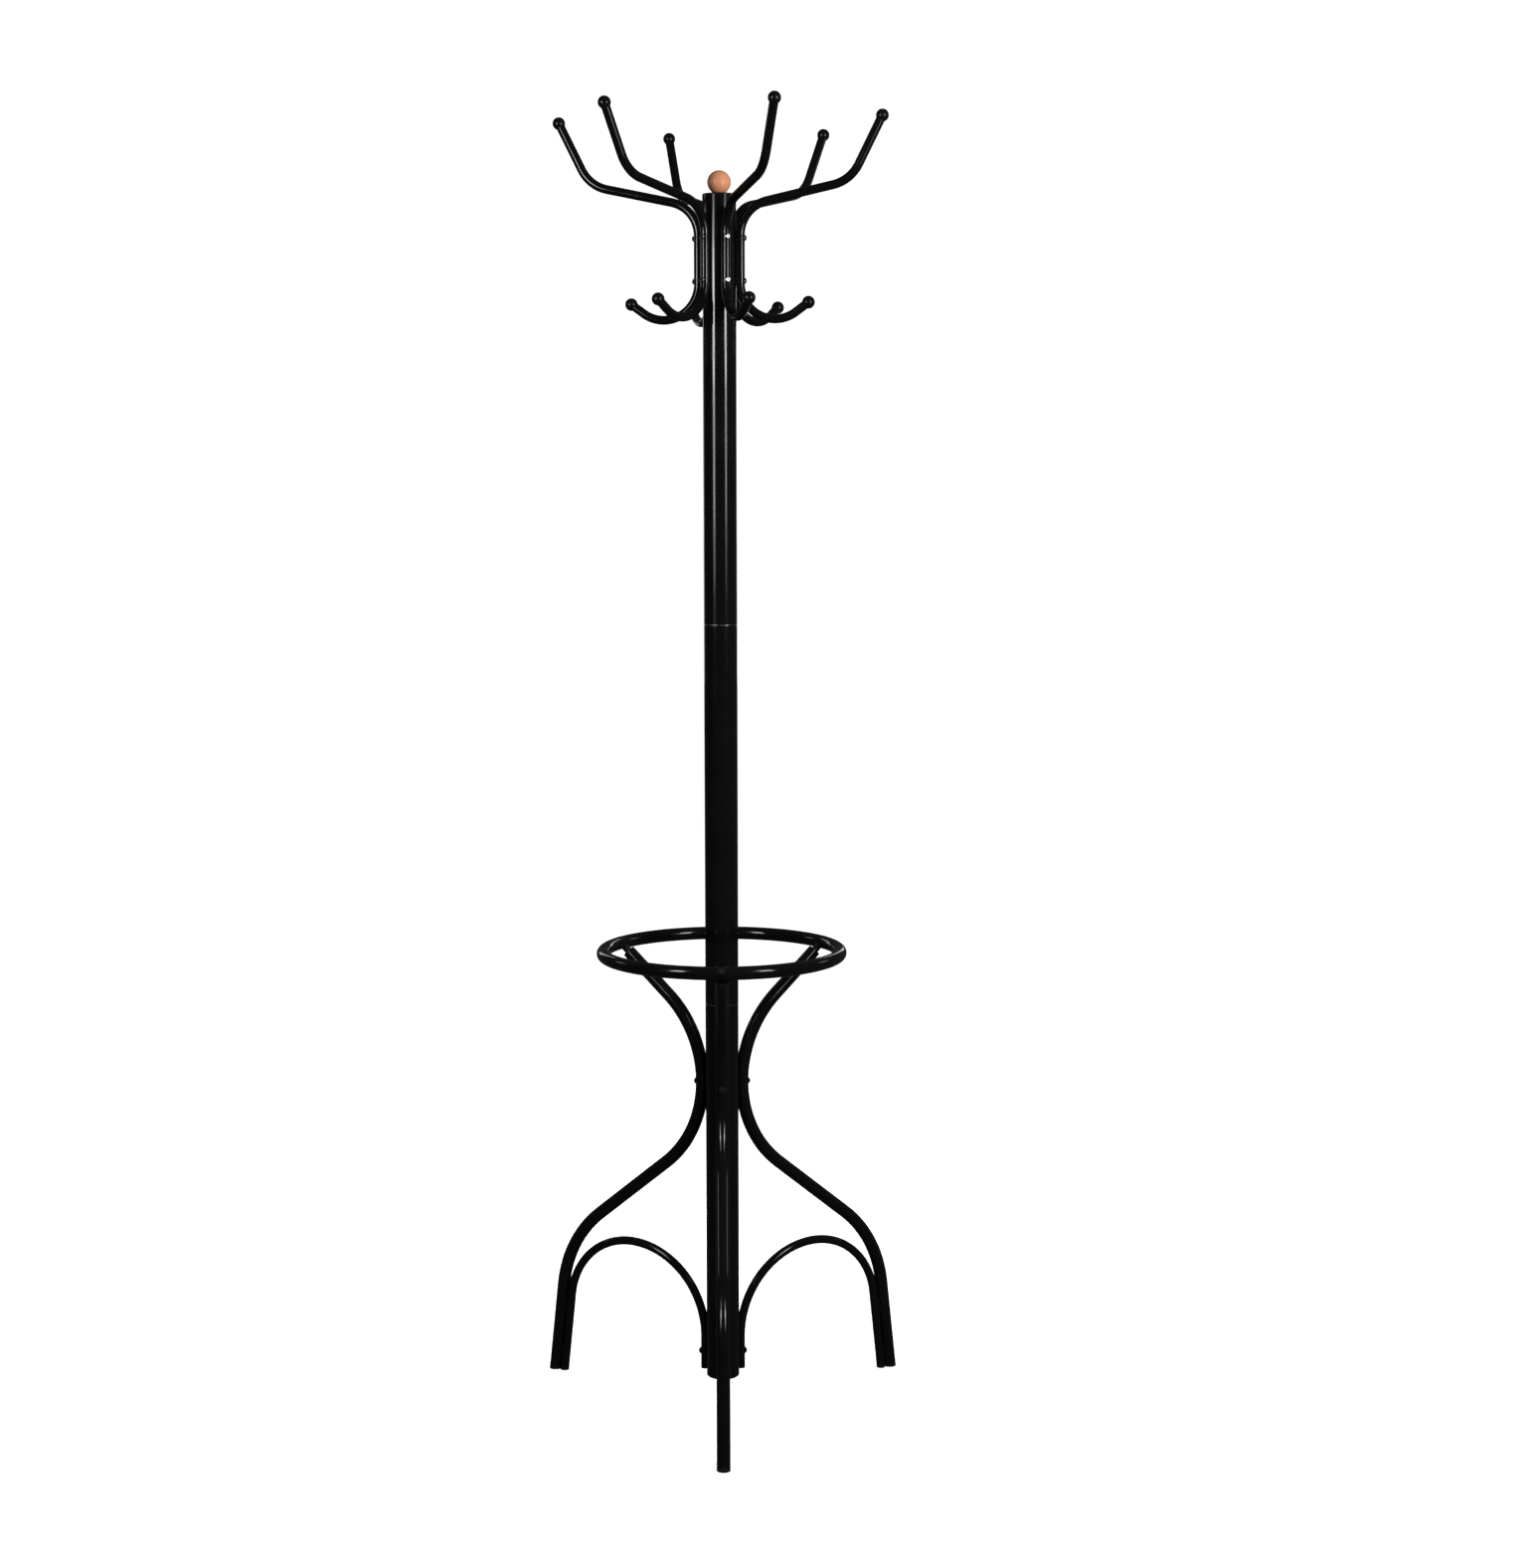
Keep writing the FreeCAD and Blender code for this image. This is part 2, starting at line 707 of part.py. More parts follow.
def ring_seat_depth():
    """How far inside the ring's centreline a screw's head rests on the tube's bore."""
    bore = size("ring_tube") / 2 - size("ring_wall")
    rim = size("large_screw_head") / 2
    reach = math.sqrt(bore.value**2 - rim.value**2)
    return Size(f"sqrt({bore.text}^2 - {rim.text}^2)", reach) - size("contact_gap")


def ring_screw_lean():
    """Slope of a ring screw, which points from the ring's tube to the leg's end."""
    out, rise, _ = path_end(*leg_paths()[0])
    across = size("ring_radius").value - leg_across().value - out
    up = size("ring_height").value - size("leg_waist_height").value - rise
    return math.degrees(math.atan2(up, across))


def ring_drill(label, azimuth, diameter, inward, outward):
    """Straight hole along a ring screw, either side of the ring tube's centre."""
    drill = doc.addObject("Part::Cylinder", label)
    bind(drill, "Radius", diameter / 2)
    bind(drill, "Height", inward + outward)
    radius, height = size("ring_radius").value, size("ring_height").value
    centre = in_leg_plane(azimuth, radius, height, 90 - ring_screw_lean())
    drill.Placement = centre * Placement(Vector(0, 0, -inward.value), Rotation())
    return drill


def leg_top_cap(label, azimuth, place):
    """Flat cap on a leg's upper end, tapped for the ring screw."""
    diameter, wall = size("leg_diameter"), size("leg_wall")
    blank = flat_cap(f"{label}_blank", size("end_cap_height"), diameter, wall, place)
    thread = size("large_screw") + size("insert_play") * 2
    depth = ring_seat_depth() + size("ring_screw_length") + size("thread_runout")
    tapped = doc.addObject("Part::Cut", label)
    tapped.Base = blank
    tapped.Tool = ring_drill(f"{label}_thread", azimuth, thread, depth, ZERO)
    keep(tapped, label)


def make_legs():
    diameter, wall = size("leg_diameter"), size("leg_wall")
    waist = size("leg_waist_height")
    upward, downward = leg_paths()
    for side, azimuth in LEG_AZIMUTHS.items():
        tube = bent_tube(f"leg_{side}", diameter, wall, (upward, downward))
        cross_drill(tube, size("large_screw") + size("screw_play"), [ZERO])
        tube.Placement = in_leg_plane(azimuth, leg_across().value, waist.value)
        keep(tube, f"leg_{side}")
        top = end_place(azimuth, leg_across(), waist, upward)
        leg_top_cap(f"leg_top_cap_{side}", azimuth, top)
        foot = end_place(azimuth, leg_across(), waist, downward)
        foot_cap(f"leg_foot_cap_{side}", diameter, wall, foot)


def make_braces():
    diameter, wall = size("brace_diameter"), size("brace_wall")
    start = size("brace_end_height")
    for side, azimuth in LEG_AZIMUTHS.items():
        tube = bent_tube(f"brace_{side}", diameter, wall, [brace_path()])
        hole = size("brace_screw_height") - start
        cross_drill(tube, size("large_screw") + size("screw_play"), [hole])
        tube.Placement = in_leg_plane(azimuth, brace_across().value, start.value)
        keep(tube, f"brace_{side}")
        inner_end = in_leg_plane(azimuth, brace_across().value, start.value, 180.0)
        label = f"brace_end_cap_{side}"
        keep(flat_cap(label, size("end_cap_height"), diameter, wall, inner_end), label)
        foot = end_place(azimuth, brace_across(), start, brace_path())
        foot_cap(f"brace_foot_cap_{side}", diameter, wall, foot)


def ring_torus(label, tube_radius):
    """Torus on the ring's centreline, its seam at the back, midway between two legs."""
    torus = doc.addObject("Part::Torus", label)
    bind(torus, "Radius1", size("ring_radius"))
    bind(torus, "Radius2", tube_radius)
    centre = Vector(0, 0, size("ring_height").value)
    torus.Placement = Placement(centre, Rotation(UP, RING_SEAM_AZIMUTH))
    return torus


def ring_drills(label, diameter, inward, outward):
    """The same hole at all three legs, reaching either way from the ring's centreline."""
    drills = [
        ring_drill(f"{label}_{side}", azimuth, diameter, inward, outward)
        for side, azimuth in LEG_AZIMUTHS.items()
    ]
    return fused(label, *drills)


def make_ring():
    """Umbrella ring of bent tube, each screw's head inside it under a pressed-in plug."""
    tube_radius = size("ring_tube") / 2
    through = size("ring_tube")
    clearance = size("large_screw") + size("screw_play")
    tube = doc.addObject("Part::Cut", "ring_tube")
    tube.Base = ring_torus("ring_outside", tube_radius)
    tube.Tool = ring_torus("ring_bore", tube_radius - size("ring_wall"))
    screw_holes = ring_drills("ring_screw_holes", clearance, through, ZERO)
    plug_holes = ring_drills("ring_plug_holes", size("ring_plug_diameter"), ZERO, through)
    drilled = doc.addObject("Part::Cut", "umbrella_ring")
    drilled.Base = tube
    drilled.Tool = fused("ring_holes", screw_holes, plug_holes)
    keep(drilled, "umbrella_ring")

    face = ring_torus("ring_plug_face", tube_radius + size("ring_plug_proud"))
    plug_diameter = size("ring_plug_diameter") - size("insert_play") * 2
    plug_start = size("ring_plug_depth") - tube_radius
    plugs = doc.addObject("Part::MultiCommon", "ring_plugs")
    plugs.Shapes = [face, ring_drills("ring_plug_blanks", plug_diameter, plug_start, through)]
    keep(plugs, "ring_plugs")


def make_ring_spacers():
    """Round spacers from the legs' end caps to the ring, hollowed to sit on its tube."""
    upward, _ = leg_paths()
    reach = size("ring_spacer_length") + size("ring_tube") / 2
    blanks = []
    for side, azimuth in LEG_AZIMUTHS.items():
        blank = doc.addObject("Part::Cylinder", f"ring_spacer_blank_{side}")
        bind(blank, "Radius", size("ring_spacer_diameter") / 2)
        bind(blank, "Height", reach)
        leg_end = end_place(azimuth, leg_across(), size("leg_waist_height"), upward)
        on_cap = Placement(Vector(0, 0, size("end_cap_height").value), Rotation())
        blank.Placement = leg_end * on_cap
        blanks.append(blank)
    saddle = ring_torus("ring_spacer_saddle", size("ring_tube") / 2 + size("contact_gap"))
    seated = doc.addObject("Part::Cut", "ring_spacers_seated")
    seated.Base = fused("ring_spacer_blanks", *blanks)
    seated.Tool = saddle
    drilled = doc.addObject("Part::Cut", "ring_spacers")
    drilled.Base = seated
    clearance = size("large_screw") + size("screw_play")
    drilled.Tool = ring_drills("ring_spacer_holes", clearance, reach * 2, ZERO)
    keep(drilled, "ring_spacers")


# ---------------------------------------------------------------- hooks


def hook_paths():
    upward = (
        Run(size("hook_stem_up")),
        Bend(size("hook_arm_bend"), size("hook_arm_angle"), -1),
        Run(size("hook_arm_run")),
        Bend(size("hook_tip_bend"), size("hook_tip_angle"), +1),
        Run(size("hook_tip_run")),
    )
    downward = (
        Run(size("hook_stem_down")),
        Bend(size("hook_crook_bend"), size("hook_crook_angle"), +1),
        Run(size("hook_crook_run")),
    )
    return (90.0, upward), (-90.0, downward)


def make_hooks():
    diameter, wall = size("hook_diameter"), size("hook_wall")
    middle = size("hook_middle_height")
    half_spacing = size("hook_screw_spacing") / 2
    upward, downward = hook_paths()
    count = int(size("hook_count").value)
    for index in range(count):
        azimuth = size("hook_azimuth").value + 360.0 * index / count
        number = index + 1
        tube = bent_tube(f"hook_tube_{number}", diameter, wall, (upward, downward))
        cross_drill(tube, size("small_screw") + size("screw_play"), [half_spacing, -half_spacing])
        tube.Placement = in_leg_plane(azimuth, hook_across().value, middle.value)
        keep(tube, f"hook_tube_{number}")
        for name, path in (("upper", upward), ("lower", downward)):
            tip = end_place(azimuth, hook_across(), middle, path)
            label = f"{name}_ball_{number}"
            keep(ball_cap(label, size("ball_diameter"), diameter, wall, tip), label)


# ---------------------------------------------------------------- fasteners


def radial_sketch(body, name, role, across, height, lean):
    """Sketch moved out to (across, height) and leaned, in the body's XZ or YZ plane."""
    sketch = new_sketch(body, name, role)
    if role == "XZ_Plane":
        turn, spot = Rotation(UP, lean), Vector(across, height, 0)
    else:
        turn, spot = Rotation(Vector(1, 0, 0), -lean), Vector(0, height, across)
    sketch.AttachmentOffset = Placement(spot, turn)
    return sketch


def button_head_screw(thread, head, head_height, length):
    """Outline of (along, radius) corners; the seat under the head is at 0."""
    shank, rim = thread / 2, head / 2
    return (
        (head_height, ZERO),
        (head_height, rim * size("head_crown")),
        (head_height * size("head_shoulder_height"), rim * size("head_shoulder_radius")),
        (head_height * size("head_rim_height"), rim),
        (ZERO, rim),
        (ZERO, shank),
        (shank * size("point_length") - length, shank),
        (-length, shank * size("point_radius")),
        (-length, ZERO),
    )


def screws(label, sizes, length, socket, azimuth, count, seats, lean=0.0):
    """Button-head screws round the post; seats lists (across, height) under each head."""
    body = new_body(label)
    head_height = sizes[2].value
    outline = button_head_screw(*sizes, length)
    features = []
    slope = Vector(math.cos(math.radians(lean)), math.sin(math.radians(lean)), 0)
    for across, height in seats:
        profile = radial_sketch(body, "Profile", "XZ_Plane", across, height, lean)
        add_outline(profile, outline)
        features.append(revolve(body, profile, "H_Axis"))
        top = Vector(across, height, 0) + slope * head_height
        recess = radial_sketch(body, "Socket", "YZ_Plane", top.x, top.y, lean)
        add_hexagon(recess, socket)
        pocket = body.newObject("PartDesign::Pocket", "Socket")
        pocket.Profile = recess
        bind(pocket, "Length", size("socket_depth"))
        doc.recompute()
        features.append(pocket)
    pattern_round_post(body, features, count)
    body.Placement = Placement(Vector(), Rotation(UP, azimuth))
    return keep(body, label)


def rivet_nuts(label, thread, azimuth, count, heights):
    """Crimped nuts in the post's wall that the screws turn into."""
    body = new_body(label)
    bore = thread / 2 + size("insert_play")
    barrel = thread / 2 + size("rivet_nut_wall")
    bulge = barrel + size("rivet_nut_bulge")
    face = size("post_diameter") / 2 - size("rivet_nut_recess")
    crimp = size("post_diameter") / 2 - size("post_wall") - size("rivet_nut_standoff")
    crimp_end = crimp - size("rivet_nut_crimp")
    outline = (
        (face, bore),
        (face, barrel),
        (crimp, barrel),
        (crimp, bulge),
        (crimp_end, bulge),
        (crimp_end, barrel),
        (face - size("rivet_nut_length"), barrel),
        (face - size("rivet_nut_length"), bore),
    )
    features = []
    for height in heights:
        profile = radial_sketch(body, "Profile", "XZ_Plane", 0.0, height.value, 0.0)
        add_outline(profile, outline)
        features.append(revolve(body, profile, "H_Axis"))
    pattern_round_post(body, features, count)
    body.Placement = Placement(Vector(), Rotation(UP, azimuth))
    return keep(body, label)


def make_fasteners():
    front = LEG_AZIMUTHS["front"]
    first_hook = size("hook_azimuth").value
    half_spacing = size("hook_screw_spacing") / 2
    middle = size("hook_middle_height")
    hook_heights = (middle - half_spacing, middle + half_spacing)
    hook_seat = hook_across() + size("hook_diameter") / 2
    hook_seats = [(hook_seat.value, height.value) for height in hook_heights]
    small = [size(f"small_screw{suffix}") for suffix in ("", "_head", "_head_height")]
    large = [size(f"large_screw{suffix}") for suffix in ("", "_head", "_head_height")]
    hooks = size("hook_count")
    small_length, small_socket = size("small_screw_length"), size("small_socket")
    screws("hook_screws", small, small_length, small_socket, first_hook, hooks, hook_seats)
    rivet_nuts("hook_rivet_nuts", small[0], first_hook, hooks, hook_heights)

    legs = size("leg_count")
    leg_seat = leg_across() + size("leg_diameter") / 2 + size("contact_gap") * 2
    brace_seat = brace_across() + size("brace_diameter") / 2
    waist, low = size("leg_waist_height"), size("brace_screw_height")
    socket = size("large_socket")
    leg_seats = [(leg_seat.value, waist.value)]
    brace_seats = [(brace_seat.value, low.value)]
    screws("leg_screws", large, size("leg_screw_length"), socket, front, legs, leg_seats)
    screws("brace_screws", large, size("brace_screw_length"), socket, front, legs, brace_seats)
    rivet_nuts("leg_rivet_nuts", large[0], front, legs, [waist])
    rivet_nuts("brace_rivet_nuts", large[0], front, legs, [low])

    lean = ring_screw_lean()
    depth = ring_seat_depth().value
    across = size("ring_radius").value - depth * math.cos(math.radians(lean))
    height = size("ring_height").value - depth * math.sin(math.radians(lean))
    ring_seats = [(across, height)]
    ring_length = size("ring_screw_length")
    screws("ring_screws", large, ring_length, socket, front, legs, ring_seats, lean)


# ---------------------------------------------------------------- checks and export


def check_contacts():
    """The legs must point at the ring and hold it, and braces must lie along the feet."""
    leg_start = Vector(leg_across().value, size("leg_waist_height").value, 0)
    brace_start = Vector(brace_across().value, size("brace_end_height").value, 0)
    ring_centre = Vector(size("ring_radius").value, size("ring_height").value, 0)
    upward, downward = leg_paths()

    out, rise, heading = path_end(*upward)
    to_ring = ring_centre - leg_start - Vector(out, rise, 0)
    held = size("end_cap_height") + size("ring_spacer_length") + size("ring_tube") / 2
    ring_gap = to_ring.Length - held.value
    miss = math.radians(heading - ring_screw_lean()) * to_ring.Length
    print(f"the leg's axis misses the ring's centre by {miss:.3f} mm")
    if abs(miss) > size("contact_gap").value:
        raise ValueError("the leg's upper end does not point at the ring")

    out, rise, heading = path_end(*downward)
    leg_foot = leg_start + Vector(out, rise, 0)
    out, rise, _ = path_end(*brace_path())
    brace_foot = brace_start + Vector(out, rise, 0)
    slope = math.radians(heading)
    spacing = abs((leg_foot - brace_foot).dot(Vector(-math.sin(slope), math.cos(slope), 0)))
    foot_gap = spacing - size("leg_diameter").value / 2 - size("brace_diameter").value / 2

    widest = size("contact_gap").value * 2
    for name, gap in (("ring", ring_gap), ("foot", foot_gap)):
        print(f"gap at the {name}: {gap:.3f} mm")
        if not 0 < gap < widest:
            raise ValueError(f"the gap at the {name} is {gap:.3f} mm")


def check_and_export():
    doc.recompute()
    for thing in doc.Objects:
        if "Invalid" in thing.State or "Error" in thing.State:
            raise RuntimeError(f"{thing.Label} failed: {thing.State}")
    os.makedirs("parts", exist_ok=True)
    for node in nodes:
        shape = node.Shape
        if shape.isNull() or not shape.isValid():
            raise RuntimeError(f"{node.Label} has no valid shape")
    for node in nodes:
        node.Shape.exportStep(f"parts/{node.Label}.step")
        box = node.Shape.BoundBox
        print(
            f"{node.Label}: {len(node.Shape.Solids)} solids, {node.Shape.Volume:.0f} mm3, "
            f"z {box.ZMin:.1f} to {box.ZMax:.1f}"
        )


make_post()
make_joints()
make_post_ends()
make_legs()
make_braces()
make_ring()
make_ring_spacers()
make_hooks()
make_fasteners()
check_contacts()
check_and_export()
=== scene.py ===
import json
import math
import random

import bmesh
import bpy
from mathutils import Matrix, Vector


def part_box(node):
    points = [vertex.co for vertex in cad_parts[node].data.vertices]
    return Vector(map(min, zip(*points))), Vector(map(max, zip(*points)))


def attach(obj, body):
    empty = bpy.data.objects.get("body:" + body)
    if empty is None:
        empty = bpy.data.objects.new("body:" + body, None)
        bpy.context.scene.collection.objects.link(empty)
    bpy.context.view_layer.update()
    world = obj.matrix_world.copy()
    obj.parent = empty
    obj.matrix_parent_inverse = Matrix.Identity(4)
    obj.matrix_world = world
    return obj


# Looks of the standing coat rack: enamel, plastic, screws and wood on the CAD nodes, and the
# painted welds, which are too small for the CAD model. Metres, in the CAD model's frame.

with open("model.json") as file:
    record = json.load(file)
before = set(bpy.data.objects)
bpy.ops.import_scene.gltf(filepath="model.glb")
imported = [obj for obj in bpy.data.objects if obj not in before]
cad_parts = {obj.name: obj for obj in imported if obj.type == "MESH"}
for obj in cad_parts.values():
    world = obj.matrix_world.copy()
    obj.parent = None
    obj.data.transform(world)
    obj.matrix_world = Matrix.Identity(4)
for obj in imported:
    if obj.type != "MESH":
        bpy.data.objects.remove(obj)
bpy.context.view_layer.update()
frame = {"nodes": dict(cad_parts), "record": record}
nodes = frame["nodes"]

MM = 0.001
UP = Vector((0, 0, 1))
BODY = "root"
LEG_AZIMUTHS = {"front": -90.0, "right": 30.0, "left": 150.0}  # degrees from +X, towards +Y

# Camera: where it stands, how it is turned, in degrees, and its lens and sensor, in millimetres.
CAMERA_PLACE = Vector((-0.0035, -3.658, 1.2659))
CAMERA_DOWN = 6.343
CAMERA_RIGHT = 0.944
CAMERA_ROLL = 0.10
CAMERA_LENS = 62.35
SENSOR = 36.0

# Tubes that the welds lie on, as in the CAD model.
LEG_RADIUS = 9 * MM
BRACE_RADIUS = 6 * MM
FOOT_SLOPE = 83.2  # a foot's angle to the floor, in degrees

# Weld beads on each flank: how far up the foot each starts, and its length.
WELDS = ((18 * MM, 16 * MM), (84 * MM, 20 * MM))
WELD_RADIUS = 1.5 * MM
WELD_PROUD = 0.7 * MM  # from the bead's centre line to both tubes
WELD_RIPPLE = 2.2 * MM
WELD_TAPER = 2 * MM
WELD_STEP = 0.4 * MM
WELD_SIDES = 14


# ---------------------------------------------------------------- node helpers


class Shader:
    """A material with short ways to add and join its nodes."""

    def __init__(self, name):
        self.material = bpy.data.materials.new(name)
        self.material.use_nodes = True
        self.tree = self.material.node_tree
        self.surface = self.tree.nodes["Principled BSDF"]

    def add(self, kind, inputs=None, **settings):
        node = self.tree.nodes.new(kind)
        for name, value in settings.items():
            setattr(node, name, value)
        for name, value in (inputs or {}).items():
            self.feed(node, name, value)
        return node

    def feed(self, node, name, value):
        """Give an input a number, a colour or another node's output."""
        if isinstance(value, bpy.types.NodeSocket):
            self.tree.links.new(value, node.inputs[name])
        else:
            node.inputs[name].default_value = value

    def set(self, **inputs):
        """Set the surface's inputs; an underscore stands for a space."""
        for name, value in inputs.items():
            self.feed(self.surface, name.replace("_", " "), value)

    def place(self, scale=(1, 1, 1), offset=(0, 0, 0)):
        """The point in the row frame, less an offset, times a scale."""
        coordinates = self.add("ShaderNodeTexCoord").outputs["Object"]
        moved = self.vector_math("SUBTRACT", coordinates, offset).outputs["Vector"]
        return self.vector_math("MULTIPLY", moved, scale).outputs["Vector"]

    def noise(self, per_metre, detail=2.0, roughness=0.5, vector=None):
        """Soft random values, with so many features to the metre."""
        inputs = {"Vector": vector or self.place(), "Scale": per_metre, "Detail": detail}
        inputs["Roughness"] = roughness
        return self.add("ShaderNodeTexNoise", inputs).outputs["Fac"]

    def span(self, value, low, high, to_low=0.0, to_high=1.0):
        """Map a value from one range to another, with its ends held."""
        inputs = {"Value": value, "From Min": low, "From Max": high}
        inputs.update({"To Min": to_low, "To Max": to_high})
        return self.add("ShaderNodeMapRange", inputs).outputs["Result"]

    def math(self, operation, first, second=0.0):
        node = self.add("ShaderNodeMath", {0: first, 1: second}, operation=operation)
        return node.outputs[0]

    def vector_math(self, operation, first, second=(0, 0, 0)):
        """A vector node; a length or a dot product is in its Value output."""
        return self.add("ShaderNodeVectorMath", {0: first, 1: second}, operation=operation)

    def normal(self):
        return self.add("ShaderNodeNewGeometry").outputs["Normal"]

    def mix(self, factor, first, second):
        """Blend two colours."""
        node = self.add("ShaderNodeMix", data_type="RGBA")
        for index, value in ((0, factor), (6, first), (7, second)):
            self.feed(node, index, value)
        return node.outputs[2]

    def edges(self, radius, sharpest=0.25):
        """1 along edges that are sharper than a small radius, 0 on the flats."""
        bevel = self.add("ShaderNodeBevel", {"Radius": radius}, samples=6).outputs["Normal"]
        likeness = self.vector_math("DOT_PRODUCT", bevel, self.normal())
        return self.span(likeness.outputs["Value"], 1.0, 1.0 - sharpest)

    def recess(self, distance):
        """0 in narrow recesses, 1 in the open."""
        occlusion = self.add("ShaderNodeAmbientOcclusion", {"Distance": distance}, samples=8)
        return occlusion.outputs["AO"]

    def bump(self, height, depth, after=None):
        """A normal for a relief of this depth, on top of another bump's normal if one is given."""
        inputs = {"Height": height, "Distance": depth, "Strength": 1.0}
        if after is not None:
            inputs["Normal"] = after
        return self.add("ShaderNodeBump", inputs).outputs["Normal"]


def rgb(red, green, blue):
    return (red, green, blue, 1.0)


def grey(level):
    return rgb(level, level, level)


# ---------------------------------------------------------------- materials


def black_enamel():
    """Glossy stove enamel: orange peel, a soft haze, rubbed edges and a trace of dust on top."""
    shader = Shader("black_enamel")
    peel = shader.bump(shader.noise(420.0, detail=1.0), 0.004 * MM)
    waves = shader.bump(shader.noise(38.0, detail=1.0), 0.016 * MM, after=peel)
    haze = shader.noise(22.0, detail=4.0, roughness=0.6)
    worn = shader.edges(0.5 * MM)
    facing = shader.add("ShaderNodeSeparateXYZ", {"Vector": shader.normal()})
    upward = shader.span(facing.outputs["Z"], 0.55, 1.0)
    dust_grain = shader.span(shader.noise(900.0, detail=3.0), 0.52, 0.72)
    dust = shader.math("MULTIPLY", upward, dust_grain)
    mottled = shader.mix(haze, rgb(0.0012, 0.0012, 0.0014), rgb(0.0034, 0.0032, 0.0035))
    dusty = shader.mix(shader.math("MULTIPLY", dust, 0.2), mottled, rgb(0.06, 0.058, 0.055))
    rubbed = shader.mix(shader.math("MULTIPLY", worn, 0.4), dusty, grey(0.03))
    smudge = shader.span(haze, 0.35, 0.7, 0.09, 0.17)
    roughness = shader.math("ADD", smudge, shader.math("MULTIPLY", worn, 0.18))
    shader.set(Base_Color=rubbed, Roughness=roughness, Normal=waves)
    shader.set(Coat_Weight=0.2, Coat_Roughness=0.05, IOR=1.5)
    return shader.material


def black_ball():
    """Moulded glossy plastic with faint flow marks."""
    shader = Shader("black_ball")
    flow = shader.noise(260.0, detail=3.0, vector=shader.place(scale=(1, 1, 0.4)))
    tone = shader.mix(flow, rgb(0.0015, 0.0015, 0.0017), rgb(0.004, 0.004, 0.0042))
    shader.set(Base_Color=tone, Roughness=shader.span(flow, 0.3, 0.7, 0.13, 0.24))
    shader.set(Normal=shader.bump(shader.noise(700.0), 0.004 * MM), IOR=1.49)
    return shader.material


def black_plastic():
    """Semi-matt moulded caps with a fine spark-eroded grain and rubbed rims."""
    shader = Shader("black_plastic")
    grain = shader.noise(1900.0, detail=3.0)
    worn = shader.edges(0.4 * MM)
    mottling = shader.noise(120.0, detail=3.0)
    tone = shader.mix(mottling, rgb(0.003, 0.003, 0.0033), rgb(0.0065, 0.0064, 0.0066))
    rubbed = shader.mix(shader.math("MULTIPLY", worn, 0.5), tone, grey(0.03))
    shader.set(Base_Color=rubbed, Roughness=shader.span(grain, 0.3, 0.7, 0.38, 0.55))
    shader.set(Normal=shader.bump(grain, 0.015 * MM), IOR=1.47)
    return shader.material


def bright_screw():
    """Nickel plate with a fine grain, and painted shade that darkens it down in the socket."""
    shader = Shader("bright_screw")
    fine = shader.noise(2600.0, detail=4.0, roughness=0.65)
    # Painted shade: the base colour falls to near black down in the socket, wherever ambient
    # occlusion finds a recess.
    outside_painted_shade = shader.span(shader.recess(3.0 * MM), 0.45, 0.9)
    plated = shader.mix(fine, rgb(0.38, 0.37, 0.355), rgb(0.55, 0.54, 0.525))
    tone = shader.mix(outside_painted_shade, grey(0.01), plated)
    shader.set(Base_Color=tone, Metallic=1.0, Roughness=shader.span(fine, 0.3, 0.7, 0.16, 0.32))
    shader.set(Normal=shader.bump(fine, 0.004 * MM))
    return shader.material


def blackened_screw():
    """Black-coated steel screws, bare metal just showing on their rims."""
    shader = Shader("blackened_screw")
    fine = shader.noise(2200.0, detail=4.0)
    worn = shader.math("MULTIPLY", shader.edges(0.35 * MM), shader.span(fine, 0.4, 0.6))
    coated = shader.mix(fine, rgb(0.003, 0.003, 0.0034), rgb(0.008, 0.008, 0.0084))
    tone = shader.mix(shader.math("MULTIPLY", worn, 0.6), coated, grey(0.12))
    shader.set(Base_Color=tone, Roughness=shader.span(fine, 0.3, 0.7, 0.22, 0.38))
    shader.set(Normal=shader.bump(fine, 0.008 * MM))
    return shader.material


def zinc_steel():
    """Bright zinc plate with a cloudy passivated bloom."""
    shader = Shader("zinc_steel")
    cloud = shader.noise(240.0, detail=5.0, roughness=0.6)
    tone = shader.mix(cloud, rgb(0.40, 0.41, 0.43), rgb(0.58, 0.58, 0.57))
    shader.set(Base_Color=tone, Metallic=1.0, Roughness=shader.span(cloud, 0.3, 0.7, 0.22, 0.42))
    shader.set(Normal=shader.bump(shader.noise(1500.0), 0.02 * MM))
    return shader.material


